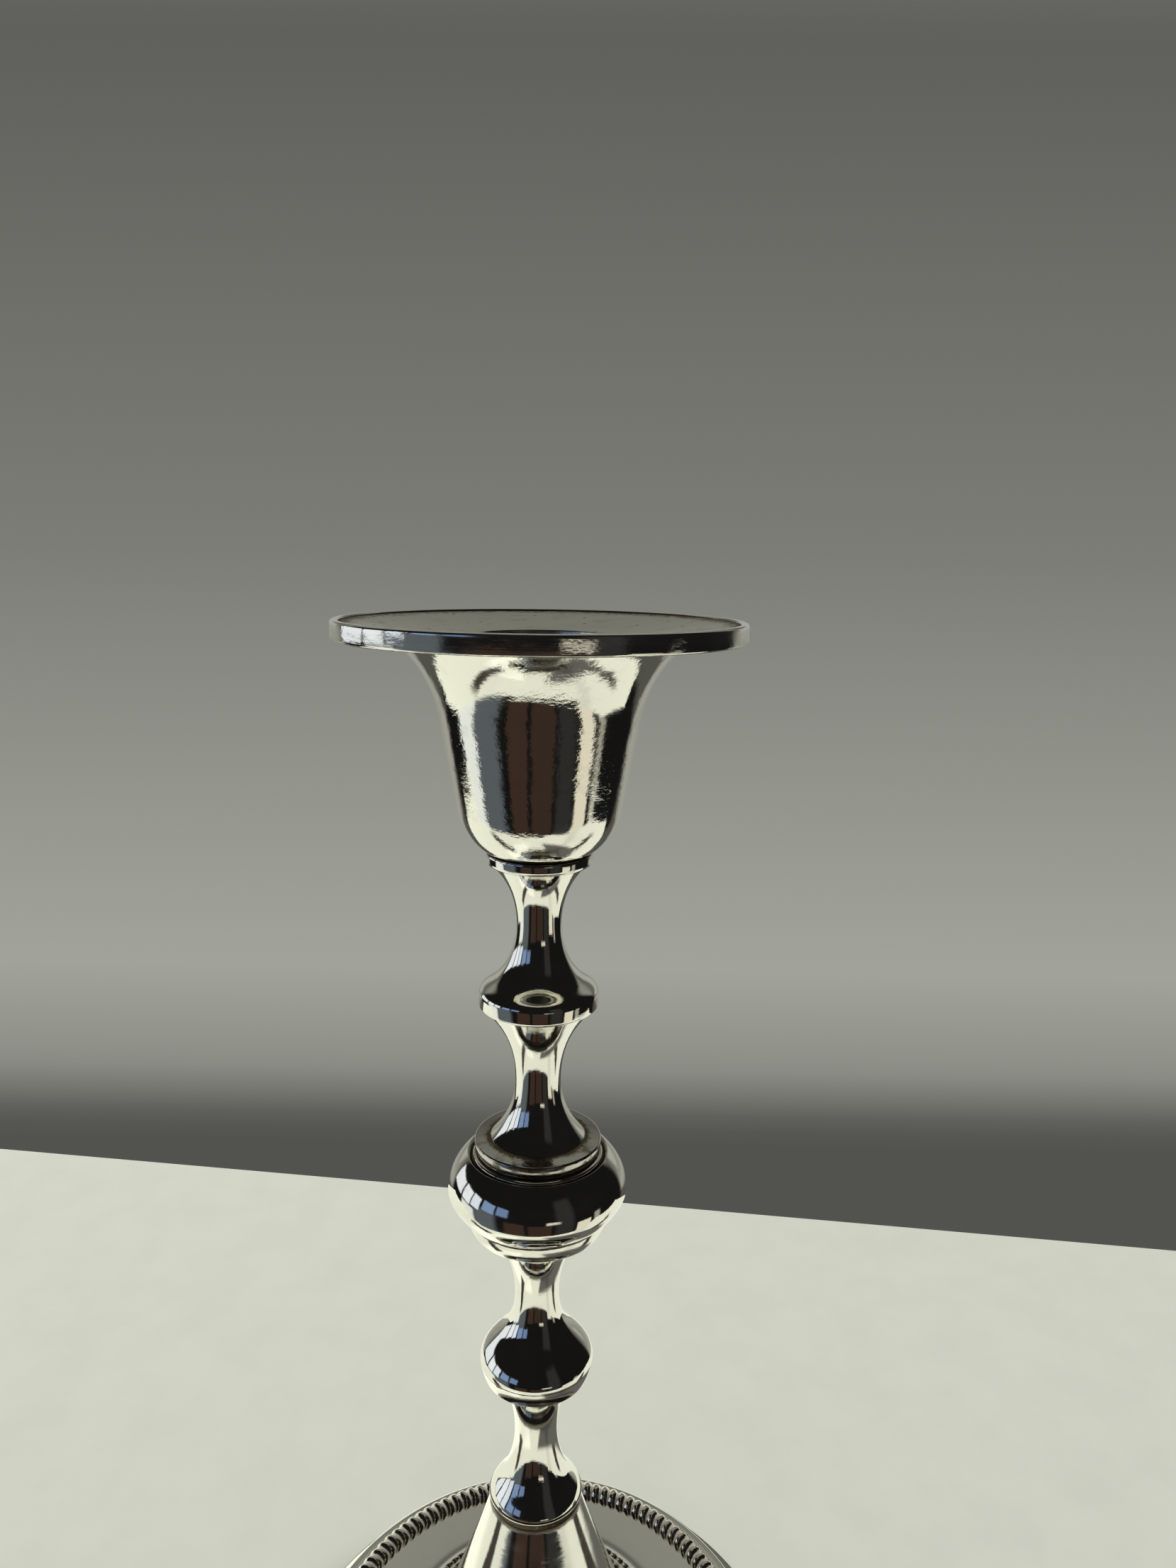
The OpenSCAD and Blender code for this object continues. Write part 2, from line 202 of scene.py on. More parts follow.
def deselect():
    """Back to object mode, with nothing selected"""
    if bpy.context.object and bpy.context.object.mode != "OBJECT":
        bpy.ops.object.mode_set(mode="OBJECT")
    bpy.ops.object.select_all(action="DESELECT")


def draw_outline(name, points):
    """A closed chain of extruded points; edit mode stays on"""
    deselect()
    bpy.ops.mesh.primitive_plane_add(size=MM, location=Vector(points[0]) * MM)
    obj = bpy.context.object
    obj.name = obj.data.name = name
    bpy.ops.object.mode_set(mode="EDIT")
    bpy.ops.mesh.select_all(action="SELECT")
    bpy.ops.mesh.merge(type="CENTER")
    last = points[0]
    for point in points[1:] + points[:1]:
        bpy.ops.mesh.extrude_region_move(
            TRANSFORM_OT_translate={"value": (Vector(point) - Vector(last)) * MM})
        last = point
    weld(2e-7)
    return obj


def weld(distance=5e-7):
    """Merges vertices that lie this close, in metres, and leaves all selected"""
    bpy.ops.mesh.select_all(action="SELECT")
    bpy.ops.mesh.remove_doubles(threshold=distance)


def close_mesh(obj, crease=50):
    """Merges the seam, points the faces outward and smooths them"""
    weld()
    bpy.ops.mesh.normals_make_consistent(inside=False)
    bpy.ops.object.mode_set(mode="OBJECT")
    bpy.ops.object.transform_apply(location=True, rotation=True, scale=True)
    bpy.ops.object.shade_smooth_by_angle(angle=radians(crease))
    if not obj.data.polygons:
        raise RuntimeError(f"{obj.name} has no faces")


def mark_crevices(obj, seams, lobes=0, lean=0.0, painted_reflection=()):
    """Writes how deep in a corner each vertex lies, 1 in it and 0 away from it; a
    seam is (radius, height, reach) in millimetres, and a leaning furrow lies
    between every two of the lobes. A second attribute says where a pale reflection
    is painted: along its own seams and in the furrows, wider at their outer ends"""
    mesh = obj.data
    co = np.empty(len(mesh.vertices) * 3)
    mesh.vertices.foreach_get("co", co)
    co = co.reshape(-1, 3) / MM
    r, z = np.hypot(co[:, 0], co[:, 1]), co[:, 2]
    deep, pale = np.zeros(len(r)), np.zeros(len(r))
    for mark, places in ((deep, seams), (pale, painted_reflection)):
        for sr, sz, reach in places:
            d = np.hypot(r - sr, z - sz) / reach
            np.maximum(mark, np.exp(-d * d), out=mark)
    if lobes:
        turn = (np.arctan2(co[:, 1], co[:, 0]) - (r - LOBE_MID) * lean) * lobes / (2 * pi)
        d = np.abs(turn - np.round(turn))  # from the nearest furrow, in lobe pitches
        deep = np.maximum(deep, np.exp(-(d / 0.06) ** 2))
        # The pale painted reflection in the furrows, wider towards their outer ends
        outward = np.clip((r - LOBE_MID) / (2 * LOBE_HALF) + 0.5, 0, 1)
        wide = 0.08 + 0.13 * outward
        pale = np.maximum(pale, np.exp(-(d / wide) ** 2))
    mesh.attributes.new("crevice", "FLOAT", "POINT").data.foreach_set("value", deep)
    if painted_reflection or lobes:
        # The second attribute marks where a pale reflection is painted
        mesh.attributes.new("painted_reflection", "FLOAT", "POINT").data.foreach_set("value", pale)


def turned(name, outline, seams=(), steps=COARSE, ease=EASE, painted_reflection=()):
    """A piece spun round the axis from its closed outline"""
    obj = draw_outline(name, [(r, 0, z) for r, z in eased(outline, ease)])
    bpy.ops.mesh.spin(steps=steps, angle=2 * pi, center=(0, 0, 0), axis=(0, 0, 1))
    close_mesh(obj)
    mark_crevices(obj, seams, painted_reflection=painted_reflection)
    return obj


def dress(obj, material, body, slot, *nodes):
    """The finished piece takes its material, body and the nodes it stands for; the slot is not
    used
    """
    obj.data.materials.clear()
    obj.data.materials.append(material)
    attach(obj, body)
    if nodes:
        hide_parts(*nodes)


def plated(node, form, plate, outline, seams, steps=COARSE, ease=EASE, painted_reflection=(),
           body="stick"):
    """A turned piece of silver plate in the place of a node; plate is a name in PLATES"""
    obj = turned(f"{node}_{form}", chain(*outline), seams, steps, ease, painted_reflection)
    dress(obj, plate_material(plate), body, "silver_plate", node)


# Shader groups


def group(name):
    """A shader node group from NODE_GROUPS, built once"""
    if name in bpy.data.node_groups:
        return bpy.data.node_groups[name]
    inputs, outputs, build = NODE_GROUPS[name]
    tree = bpy.data.node_groups.new(name, "ShaderNodeTree")
    for label, default in inputs:
        kind = "NodeSocketColor" if isinstance(default, tuple) else "NodeSocketFloat"
        socket = tree.interface.new_socket(label, in_out="INPUT", socket_type=kind)
        socket.default_value = (*default, 1) if isinstance(default, tuple) else default
    for label, kind in outputs:
        tree.interface.new_socket(label, in_out="OUTPUT", socket_type="NodeSocket" + kind)
    build(tree, tree.nodes.new("NodeGroupInput").outputs,
          tree.nodes.new("NodeGroupOutput").inputs)
    return tree


def feed(socket, value):
    """Links the value to the socket if it is one too, and sets it otherwise"""
    if isinstance(value, bpy.types.NodeSocket):
        socket.id_data.links.new(value, socket)
    elif socket.type == "RGBA" and len(value) == 3:
        socket.default_value = (*value, 1)
    else:
        socket.default_value = value


def maths(tree, operation, *values):
    """Result of a Math node"""
    n = tree.nodes.new("ShaderNodeMath")
    n.operation = operation
    for socket, value in zip(n.inputs, values):
        feed(socket, value)
    return n.outputs[0]


def times(tree, a, b):
    """Product of two values"""
    return maths(tree, "MULTIPLY", a, b)


def remap(tree, value, a, b, c=0.0, d=1.0, smooth=True):
    """The value mapped from a..b to c..d, held at the ends"""
    n = tree.nodes.new("ShaderNodeMapRange")
    if smooth:
        n.interpolation_type = "SMOOTHSTEP"
    labels = "Value", "From Min", "From Max", "To Min", "To Max"
    for label, v in zip(labels, (value, a, b, c, d)):
        feed(n.inputs[label], v)
    return n.outputs["Result"]


def blend(tree, factor, a, b):
    """Colour a where the factor is 0 and b where it is 1"""
    n = tree.nodes.new("ShaderNodeMix")
    n.data_type = "RGBA"
    for socket, value in zip((n.inputs[0], n.inputs[6], n.inputs[7]), (factor, a, b)):
        feed(socket, value)
    return n.outputs[2]


def vector(tree, operation, a, b=None):
    """Result of a Vector Math node"""
    n = tree.nodes.new("ShaderNodeVectorMath")
    n.operation = operation
    feed(n.inputs[0], a)
    if b is not None:
        feed(n.inputs["Scale"] if operation == "SCALE" else n.inputs[1], b)
    return n.outputs["Value" if operation in ("LENGTH", "DOT_PRODUCT") else "Vector"]


def noise(tree, coords, scale, detail=2.0, rough=0.5, output="Fac"):
    """Noise, with a scale in cells to the metre where coords are Object ones"""
    n = tree.nodes.new("ShaderNodeTexNoise")
    n.inputs["Detail"].default_value = detail
    n.inputs["Roughness"].default_value = rough
    feed(n.inputs["Scale"], scale)
    tree.links.new(coords, n.inputs["Vector"])
    return n.outputs[output]


def object_coords(tree):
    """Object coordinates, in metres"""
    return tree.nodes.new("ShaderNodeTexCoord").outputs["Object"]


def lathe_coords(tree, round_scale, along_scale):
    """Coordinates that run slowly round the axis and fast along the profile"""
    split = tree.nodes.new("ShaderNodeSeparateXYZ")
    tree.links.new(object_coords(tree), split.inputs[0])
    x, y, z = split.outputs
    r = maths(tree, "MAXIMUM", maths(tree, "SQRT", maths(
        tree, "ADD", times(tree, x, x), times(tree, y, y))), 1e-5)
    join = tree.nodes.new("ShaderNodeCombineXYZ")
    for socket, side in zip(join.inputs, (x, y)):
        feed(socket, times(tree, maths(tree, "DIVIDE", side, r), round_scale))
    along = maths(tree, "ADD", z, times(tree, r, 0.83))
    feed(join.inputs[2], times(tree, along, along_scale))
    return join.outputs[0]


def build_dents(tree, given, result):
    """Height of the hand-worked skin: soft swells all over, and dents and a finer
    ripple that lie in patches and run round the piece"""
    co = object_coords(tree)
    flat = vector(tree, "MULTIPLY", co, (1.0, 1.0, 1.7))
    swell = times(tree, noise(tree, co, 95, 1.0), given["Swell"])
    dent = times(tree, noise(tree, flat, 430, 2.5), given["Dent"])
    grain = times(tree, noise(tree, flat, 1300, 2.5, 0.6), given["Grain"])
    patch = remap(tree, noise(tree, co, 120, 2.0), 0.36, 0.62, 0.25, 1.0)
    worked = times(tree, maths(tree, "ADD", dent, grain), patch)
    feed(result["Height"], maths(tree, "ADD", swell, worked))


def build_polish(tree, given, result):
    """Turning and polishing marks round the axis: their height and their haze"""
    lines = noise(tree, lathe_coords(tree, 2.2, 5200), 1.0, 3.0, 0.65)
    haze = noise(tree, lathe_coords(tree, 1.3, 900), 1.0, 3.0, 0.6)
    patch = noise(tree, object_coords(tree), 130, 3.0, 0.55)
    feed(result["Height"], times(tree, lines, given["Depth"]))
    spread = times(tree, remap(tree, haze, 0.42, 0.75), given["Haze"])
    worn = times(tree, remap(tree, patch, 0.45, 0.72), given["Haze"])
    feed(result["Roughness"], maths(
        tree, "ADD", given["Roughness"], maths(tree, "ADD", spread, worn)))


def ragged(tree, attribute, amount, *pattern):
    """A mark on the mesh with this much noise over it"""
    mark = tree.nodes.new("ShaderNodeAttribute")
    mark.attribute_name = attribute
    over = maths(tree, "SUBTRACT", noise(tree, object_coords(tree), *pattern), 0.5)
    return maths(tree, "ADD", mark.outputs["Fac"], times(tree, over, amount))


def build_tarnish(tree, given, result):
    """Brown tarnish that fills the corners and thins out raggedly"""
    edge = ragged(tree, "crevice", 0.9, 900, 4.0, 0.65)
    cloud = noise(tree, object_coords(tree), 240, 3.0, 0.6)
    corner = times(tree, remap(tree, edge, 0.34, 0.86), given["Corners"])
    film = times(tree, remap(tree, cloud, 0.52, 0.80), given["Film"])
    mask = maths(tree, "MINIMUM", maths(tree, "ADD", corner, film), 1.0)
    feed(result["Mask"], mask)
    feed(result["Color"], blend(tree, mask, given["Plate"], given["Tarnish"]))


def build_pits(tree, given, result):
    """Scattered black pits, as where the plate has been eaten through"""
    co = object_coords(tree)
    bent = vector(tree, "ADD", co, vector(
        tree, "SCALE", noise(tree, co, 1800, 3.0, 0.6, "Color"), 0.0006))
    cell = tree.nodes.new("ShaderNodeTexVoronoi")
    feed(cell.inputs["Vector"], bent)
    feed(cell.inputs["Scale"], given["Density"])
    pick = maths(tree, "GREATER_THAN", vector(tree, "DOT_PRODUCT", cell.outputs["Color"],
                                             (1, 0, 0)), given["Rarity"])
    spot = remap(tree, cell.outputs["Distance"], given["Size"],
                 times(tree, given["Size"], 0.55))
    feed(result["Mask"], times(tree, pick, spot))


def build_painted_reflection(tree, given, result):
    """Where a pale reflection is painted into the furrows and grooves, with ragged edges"""
    edge = ragged(tree, "painted_reflection", 0.7, 1100, 3.0, 0.6)
    feed(result["Mask"], times(tree, remap(tree, edge, 0.30, 0.62), given["Amount"]))


# inputs as (name, default), where three numbers are a colour; outputs as (name, kind)
NODE_GROUPS = {
    "Dents": ([("Swell", 1.0), ("Dent", 0.2), ("Grain", 0.05)],
              [("Height", "Float")], build_dents),
    "Polishing marks": ([("Depth", 0.1), ("Roughness", 0.05), ("Haze", 0.05)],
                        [("Height", "Float"), ("Roughness", "Float")], build_polish),
    "Tarnish": ([("Plate", (0.9, 0.9, 0.8)), ("Tarnish", (0.1, 0.1, 0.05)),
                 ("Corners", 1.0), ("Film", 0.1)],
                [("Color", "Color"), ("Mask", "Float")], build_tarnish),
    "Pits": ([("Density", 300.0), ("Rarity", 0.8), ("Size", 0.2)],
             [("Mask", "Float")], build_pits),
    "Painted reflection": ([("Amount", 1.0)], [("Mask", "Float")], build_painted_reflection),
}


def place(tree, name, **values):
    """Outputs of a node group with these values on its inputs"""
    n = tree.nodes.new("ShaderNodeGroup")
    n.node_tree = group(name)
    for label, value in values.items():
        feed(n.inputs[label], value)
    return n.outputs


def new_material(name, metallic, **uniform):
    """A material and its Principled shader, with what is the same all over set on it"""
    material = bpy.data.materials.new(name)
    material.use_nodes = True
    tree = material.node_tree
    shader = tree.nodes["Principled BSDF"]
    shader.inputs["Metallic"].default_value = metallic
    for label, value in uniform.items():
        shader.inputs[label.replace("_", " ")].default_value = value
    return material, tree, shader


def bump(tree, shader, height, distance):
    """Roughens the shader's normal; the distance is in metres"""
    n = tree.nodes.new("ShaderNodeBump")
    n.inputs["Distance"].default_value = distance
    tree.links.new(height, n.inputs["Height"])
    tree.links.new(n.outputs["Normal"], shader.inputs["Normal"])


def plate_material(name):
    """The worn silver plate of that name in PLATES, made once"""
    if name not in bpy.data.materials:
        make_plate(name, **PLATES[name])
    return bpy.data.materials[name]


def make_plate(name, swell=1.0, dent=0.5, grain=0.16, depth=0.1, rough=0.03, haze=0.05,
               corners=1.0, film=0.1, pits=0.0, rarity=0.8, density=260.0, pit_size=0.24,
               colour=None, painted_reflection=0.0):
    """Worn silver plate; the amounts say how dented (swell, dent, grain), marked and
    dulled by polishing (depth, rough, haze), tarnished (corners, film) and pitted it
    is, and the last how much pale reflection is painted into its grooves"""
    finish = bpy.context.scene.candlestick_finish
    tree, shader = new_material(name, 1.0, Specular_IOR_Level=0.5)[1:]
    skin = place(tree, "Dents", Swell=swell, Dent=dent, Grain=grain)
    marks = place(tree, "Polishing marks", Depth=depth, Roughness=rough, Haze=haze)
    dirt = place(tree, "Tarnish", Plate=tuple(colour or finish.plate_colour),
                 Tarnish=tuple(finish.tarnish_colour), Corners=corners, Film=film)
    base, mask = dirt["Color"], dirt["Mask"]
    height = maths(tree, "ADD", skin["Height"], marks["Height"])
    if pits:
        eaten = times(tree, place(
            tree, "Pits", Density=density, Rarity=rarity, Size=pit_size)["Mask"], pits)
        base = blend(tree, eaten, base, (0.012, 0.011, 0.010))
        mask = maths(tree, "MAXIMUM", mask, eaten)
        height = maths(tree, "SUBTRACT", height, times(tree, eaten, 0.6))
    if painted_reflection:
        # A pale reflection painted into the grooves: a cream colour, less metal and rougher
        painted_reflection_mask = place(tree, "Painted reflection", Amount=painted_reflection)["Mask"]
        base = blend(tree, painted_reflection_mask, base, (0.74, 0.68, 0.56))
        mask = maths(tree, "MAXIMUM", mask, painted_reflection_mask)
        feed(shader.inputs["Metallic"], maths(tree, "SUBTRACT", 1.0, times(tree, painted_reflection_mask, 0.8)))
    feed(shader.inputs["Base Color"], base)
    feed(shader.inputs["Roughness"], maths(tree, "ADD", marks["Roughness"],
                                           times(tree, mask, 0.32)))
    bump(tree, shader, height, 3.2e-5)


def mottled(name, metallic, dark, pale, roughness, distance, pattern, lathe=None):
    """A material whose tone, roughness and skin follow one noise pattern, drawn out
    round the axis where lathe gives the scales round and along it"""
    material, tree, shader = new_material(name, metallic)
    co = lathe_coords(tree, *lathe) if lathe else object_coords(tree)
    spots = noise(tree, co, *pattern)
    feed(shader.inputs["Base Color"], blend(tree, remap(tree, spots, 0.35, 0.7), dark, pale))
    feed(shader.inputs["Roughness"], remap(tree, spots, 0.3, 0.7, *roughness))
    bump(tree, shader, spots, distance)
    return material


# How each plate differs from the even one, the defaults of make_plate
SPUN_FOOT = dict(dent=0.35, grain=0.14, depth=0.12, rough=0.05, corners=0.8, film=0.03,
                 pits=0.9, rarity=0.93, density=210.0, pit_size=0.16)
PLATES = {
    "Polished plate": {},
    "Polished rim": dict(swell=1.2, dent=1.6, grain=0.32, depth=0.25, rough=0.05, haze=0.09,
                         film=0.15),
    "Dulled pan": dict(swell=0.5, dent=0.35, grain=1.0, depth=0.35, rough=0.30, haze=0.10,
                       corners=0.85, film=0.25, pits=0.6, rarity=0.86, density=520.0,
                       colour=(0.95, 0.93, 0.82)),
    "Tube plate": dict(swell=0.6, dent=0.3, grain=0.3, depth=0.5, rough=0.16, haze=0.12,
                       film=0.22, colour=(0.80, 0.78, 0.69)),
    "Beaten plate": dict(swell=1.1, dent=1.6, grain=0.9, haze=0.06, film=0.14),
    "Rubbed mouldings": dict(swell=0.9, dent=0.7, grain=0.20, depth=0.12, rough=0.05,
                             haze=0.07, film=0.2),
    "Tarnished cap": dict(swell=0.9, dent=0.9, grain=0.35, depth=0.2, rough=0.08, haze=0.1,
                          film=1.1, colour=(0.62, 0.60, 0.54)),
    "Satin foot": SPUN_FOOT,
    # The skirt with a pale reflection painted into its groove and step
    "Bright skirt": dict(SPUN_FOOT, painted_reflection=0.7),
    # The gadroon with a pale reflection painted into its furrows and along its edge
    "Gadroon plate": dict(swell=0.5, dent=0.8, grain=0.2, depth=0.0, rough=0.06, haze=0.08,
                          corners=0.45, film=0.3, colour=(0.90, 0.86, 0.76), painted_reflection=0.85),
}


# Pieces


class CANDLESTICK_OT_nozzle(Operator):
    """Models the drip pan, its rim band and the candle tube"""

    bl_idname = "candlestick.nozzle"
    bl_label = "Nozzle"

    def execute(self, context):
        sizes = context.scene.candlestick_nozzle
        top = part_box("pan_rim")[1][2] / MM
        rim_r = sizes.pan_diameter / MM / 2
        low = top - sizes.rim_height / MM
        inner = rim_r - 1.4  # inside of the rim band
        bore = sizes.candle_bore / MM / 2
        tube = bore + 0.7  # outside of the candle tube
        hole = tube + 0.05  # the pan's hole, with the seam round the tube
        hole_z = top - sizes.dish_drop / MM
        floor_z = hole_z - sizes.tube_depth / MM
        step = 0.41  # from the pan's edge up to the band's top
        slope = (sizes.dish_drop / MM - step) / (inner - hole)

        def pan_z(r):
            """Height of the pan's top, before its slight hollow"""
            return hole_z + slope * (r - hole)

        plated("drip_pan", "sheet", "Dulled pan", [
            (hole, pan_z(hole)), (14, pan_z(14) - 0.02), (18, pan_z(18) - 0.05),
            (23, pan_z(23) - 0.05), (28, pan_z(28) - 0.02), (inner, pan_z(inner)),
            (inner, pan_z(inner) - 1), (23, pan_z(23) - 1), (hole, pan_z(hole) - 1)],
            [(hole + 0.6, pan_z(hole), 1.5), (inner, pan_z(inner), 0.5)], FINE, body="nozzle")
        plated("pan_rim", "band", "Polished rim", [
            (inner, pan_z(inner)),
            [(inner + 0.1, top), (inner + 0.3, top), (rim_r - 0.65, top), 8],
            [(rim_r - 0.2, top), (rim_r, top - 0.2), (rim_r, top - 0.65), 10],
            (rim_r, top - 1.4), (rim_r, low + 1.1), (rim_r, low + 0.5),
            [(rim_r, low + 0.2), (rim_r - 0.2, low), (rim_r - 0.5, low), 8],
            (inner - 0.4, low), (inner - 1, low + 0.6), (inner - 1, pan_z(inner - 1) - 1),
            (inner, pan_z(inner) - 1)],
            [(inner, pan_z(inner), 0.25), (rim_r - 0.3, low - 0.2, 0.5)], FINE, ease=0.06,
            body="nozzle")
        plated("candle_tube", "liner", "Tube plate", [
            (bore + 0.12, hole_z + 0.5),
            [(bore + 0.3, hole_z + 0.62), (tube + 0.1, hole_z + 0.55),
             (tube + 0.45, hole_z + 0.4)],
            [(tube + 0.6, hole_z + 0.3), (tube + 0.6, hole_z + 0.1),
             (tube + 0.55, hole_z + 0.05)],
            (tube, hole_z + 0.05),
            (tube, floor_z - 0.3),
            [(tube, floor_z - 0.8), (tube - 0.3, floor_z - 0.9), (tube - 0.8, floor_z - 0.9)],
            (0.02, floor_z - 0.9), (0.02, floor_z), (bore - 0.6, floor_z),
            [(bore - 0.2, floor_z), (bore, floor_z + 0.2), (bore, floor_z + 0.6)],
            (bore, hole_z + 0.1)],
            [(bore, floor_z, 3.0), (tube + 0.5, hole_z, 0.5)], body="nozzle")
        return {"FINISHED"}


class CANDLESTICK_OT_cup(Operator):
    """Models the socket cup and the collar under it"""

    bl_idname = "candlestick.cup"
    bl_label = "Socket cup"

    def execute(self, context):
        lip = context.scene.candlestick_stem.lip_radius / MM
        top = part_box("socket_cup")[1][2] / MM
        plated("socket_cup", "bell", "Beaten plate", [
            (lip - 1.0, top), (lip - 0.1, top - 0.05), (lip, top - 0.35), (lip - 0.05, 220.25),
            (lip - 0.3, 220.1),
            [(21.7, 218.3), (18.36, 211.6), (17.6, 207.5), 34],
            (16.59, 202.1), (15.47, 196.12), (14.43, 190.6),
            [(14.02, 188.4), (12.4, 184.4), (9.0, Z_CUP), 24],
            (ROD_R, Z_CUP), (ROD_R, 184.1), (9.0, 184.1),
            [(11.9, 185.5), (13.13, 188.9), (13.53, 190.8), 16], (16.7, 207.5),
            [(17.3, 212.1), (20.9, 219.1), (25.3, 220.6), 24]],
            [(lip, 220.4, 0.8), (9.1, 182.8, 0.55)], 224)
        plated("socket_collar", "disc", "Polished plate", [
            (ROD_R, Z_CUP), (9.05, Z_CUP), [(9.4, 182.65), (9.5, 182.4), (9.5, 182.1), 8],
            (9.5, 181.3), [(9.5, 181.0), (9.3, 180.7), (8.95, Z_COLLAR), 10],
            (ROD_R, Z_COLLAR)],
            [(9.1, Z_CUP, 0.45), (8.9, Z_COLLAR, 0.3)], ease=0.05)
        return {"FINISHED"}


class CANDLESTICK_OT_upper_stem(Operator):
    """Models the two waists between the cup and the central knop"""

    bl_idname = "candlestick.upper_stem"
    bl_label = "Upper stem"

    def execute(self, context):
        stem = context.scene.candlestick_stem
        waist, disc = stem.waist_radius / MM, stem.disc_radius / MM
        plated("upper_baluster", "turning", "Polished plate", [
            (ROD_R, Z_COLLAR), (8.7, Z_COLLAR),
            [(6.0, 177.9), (waist, 174.6), (waist, 169.6), 26],
            [(waist, 164.3), (6.0, 161.2), (8.2, 159.2), 24],
            [(9.4, 158.1), (disc, 157.6), (disc, 156.3), 16],
            (disc, 154.7), [(disc, 154.3), (10.7, 154.0), (10.35, Z_UPPER), 8],
            (ROD_R, Z_UPPER)],
            [(8.8, Z_COLLAR, 0.35), (10.2, Z_UPPER, 0.35)], ease=0.06)
        plated("middle_baluster", "turning", "Polished plate", [
            (ROD_R, Z_UPPER), (10.05, Z_UPPER),
            [(7.2, 150.6), (waist, 146.8), (waist, 139.6), 28],
            [(waist, 135.4), (5.6, 131.5), (8.8, Z_MIDDLE), 28], (ROD_R, Z_MIDDLE)],
            [(10.1, Z_UPPER, 0.4), (9.0, 128.2, 0.5)], ease=0.05)
        return {"FINISHED"}


class CANDLESTICK_OT_knop(Operator):
    """Models the central knop with its cap, bead and seat"""

    bl_idname = "candlestick.knop"
    bl_label = "Central knop"

    def execute(self, context):
        radius = context.scene.candlestick_stem.knop_radius / MM
        plated("knop_cap", "disc", "Tarnished cap", [
            (ROD_R, Z_MIDDLE), (8.9, Z_MIDDLE), (9.6, 128.16), (11.2, 128.02),
            [(11.6, 127.97), (11.76, 127.8), (11.76, 127.45), 8],
            (11.76, 126.7), (11.3, Z_CAP), (ROD_R, Z_CAP)],
            [(9.0, 128.25, 0.8), (11.4, Z_CAP, 0.35)], ease=0.06)
        plated("knop_bead", "ring", "Rubbed mouldings", [
            (ROD_R, Z_CAP), (11.4, Z_CAP),
            [(12.2, 125.2), (12.3, 124.6), (11.8, Z_KNOP_BEAD), 14], (ROD_R, Z_KNOP_BEAD)],
            [(11.4, Z_CAP, 0.3), (12.0, Z_KNOP_BEAD, 0.4)], ease=0.04)
        middle, rise, steps = 117.9, 11.5, 26  # of the ellipse over the knop's middle
        start = asin((125.1 - middle) / rise)
        arc = [start * (1 - i / steps) for i in range(steps + 1)]
        plated("central_knop", "bowl", "Polished plate", [
            (ROD_R, Z_KNOP_BEAD), (12.3, Z_KNOP_BEAD), (12.85, 124.95),
            *((radius * cos(a), middle + rise * sin(a)) for a in arc),
            [(radius, 116.8), (15.3, 114.6), (13.9, 113.5), 20], (13.6, 113.3),
            (13.35, Z_KNOP), (ROD_R, Z_KNOP)],
            [(12.2, 124.5, 0.9), (13.5, 113.1, 0.4)], 192, ease=0.05)
        plated("knop_seat", "plate", "Rubbed mouldings", [
            (ROD_R, Z_KNOP), (13.1, Z_KNOP), (13.2, 112.8),
            [(13.1, 111.4), (12.75, 110.6), (12.2, 109.8), 14],
            [(12.08, 109.55), (11.9, 109.45), (11.6, Z_SEAT), 6], (ROD_R, Z_SEAT)],
            [(13.3, 112.9, 0.35), (11.5, Z_SEAT, 0.4)], 192, ease=0.05)
        return {"FINISHED"}


class CANDLESTICK_OT_lower_stem(Operator):
    """Models the acorn, its band, the bulb and the bead on the foot"""

    bl_idname = "candlestick.lower_stem"
    bl_label = "Lower stem"

    def execute(self, context):
        waist = context.scene.candlestick_stem.waist_radius / MM
        plated("lower_baluster", "acorn", "Polished plate", [
            (ROD_R, Z_SEAT), (9.6, Z_SEAT),
            [(6.2, 106.0), (waist, 101.0), (waist, 95.5), 26],
            [(waist, 92.0), (5.0, 89.4), (7.2, 87.0), 22],
            [(8.9, 85.2), (10.65, 83.5), (10.9, 81.8), 18],
            [(10.93, 81.4), (10.9, 81.1), (10.85, Z_ACORN), 6], (ROD_R, Z_ACORN)],
            [(9.7, Z_SEAT, 0.4), (10.9, Z_ACORN, 0.16)], ease=0.02)
        plated("acorn_band", "ring", "Polished plate", [
            (ROD_R, Z_ACORN), (10.85, Z_ACORN),
            [(10.75, 79.9), (10.35, 78.7), (10.05, 78.0), 12],
            [(9.95, 77.75), (9.8, 77.65), (9.5, Z_BAND), 6], (ROD_R, Z_BAND)],
            [(10.9, Z_ACORN, 0.16), (9.5, Z_BAND, 0.35)], ease=0.02)
        plated("bulb_stem", "turning", "Polished plate", [
            (ROD_R, Z_BAND), (8.3, Z_BAND),
            [(5.6, 74.7), (waist, 70.4), (waist, 65.0), 26],
            [(waist, 61.8), (4.9, 58.7), (6.0, 56.3), 22],
            [(7.0, 54.1), (8.7, 52.8), (9.05, Z_BULB), 20], (ROD_R, Z_BULB)],
            [(8.4, Z_BAND, 0.4), (9.1, Z_BULB, 0.3)], ease=0.05)
        plated("bulb_bead", "ring", "Rubbed mouldings", [
            (ROD_R, Z_BULB), (9.05, Z_BULB), [(9.3, 51.1), (9.3, 50.6), (8.98, 50.35), 10],
            (8.95, Z_BEAD), (ROD_R, Z_BEAD)],
            [(9.05, Z_BULB, 0.25), (8.95, 49.9, 0.9)], ease=0.05)
        return {"FINISHED"}


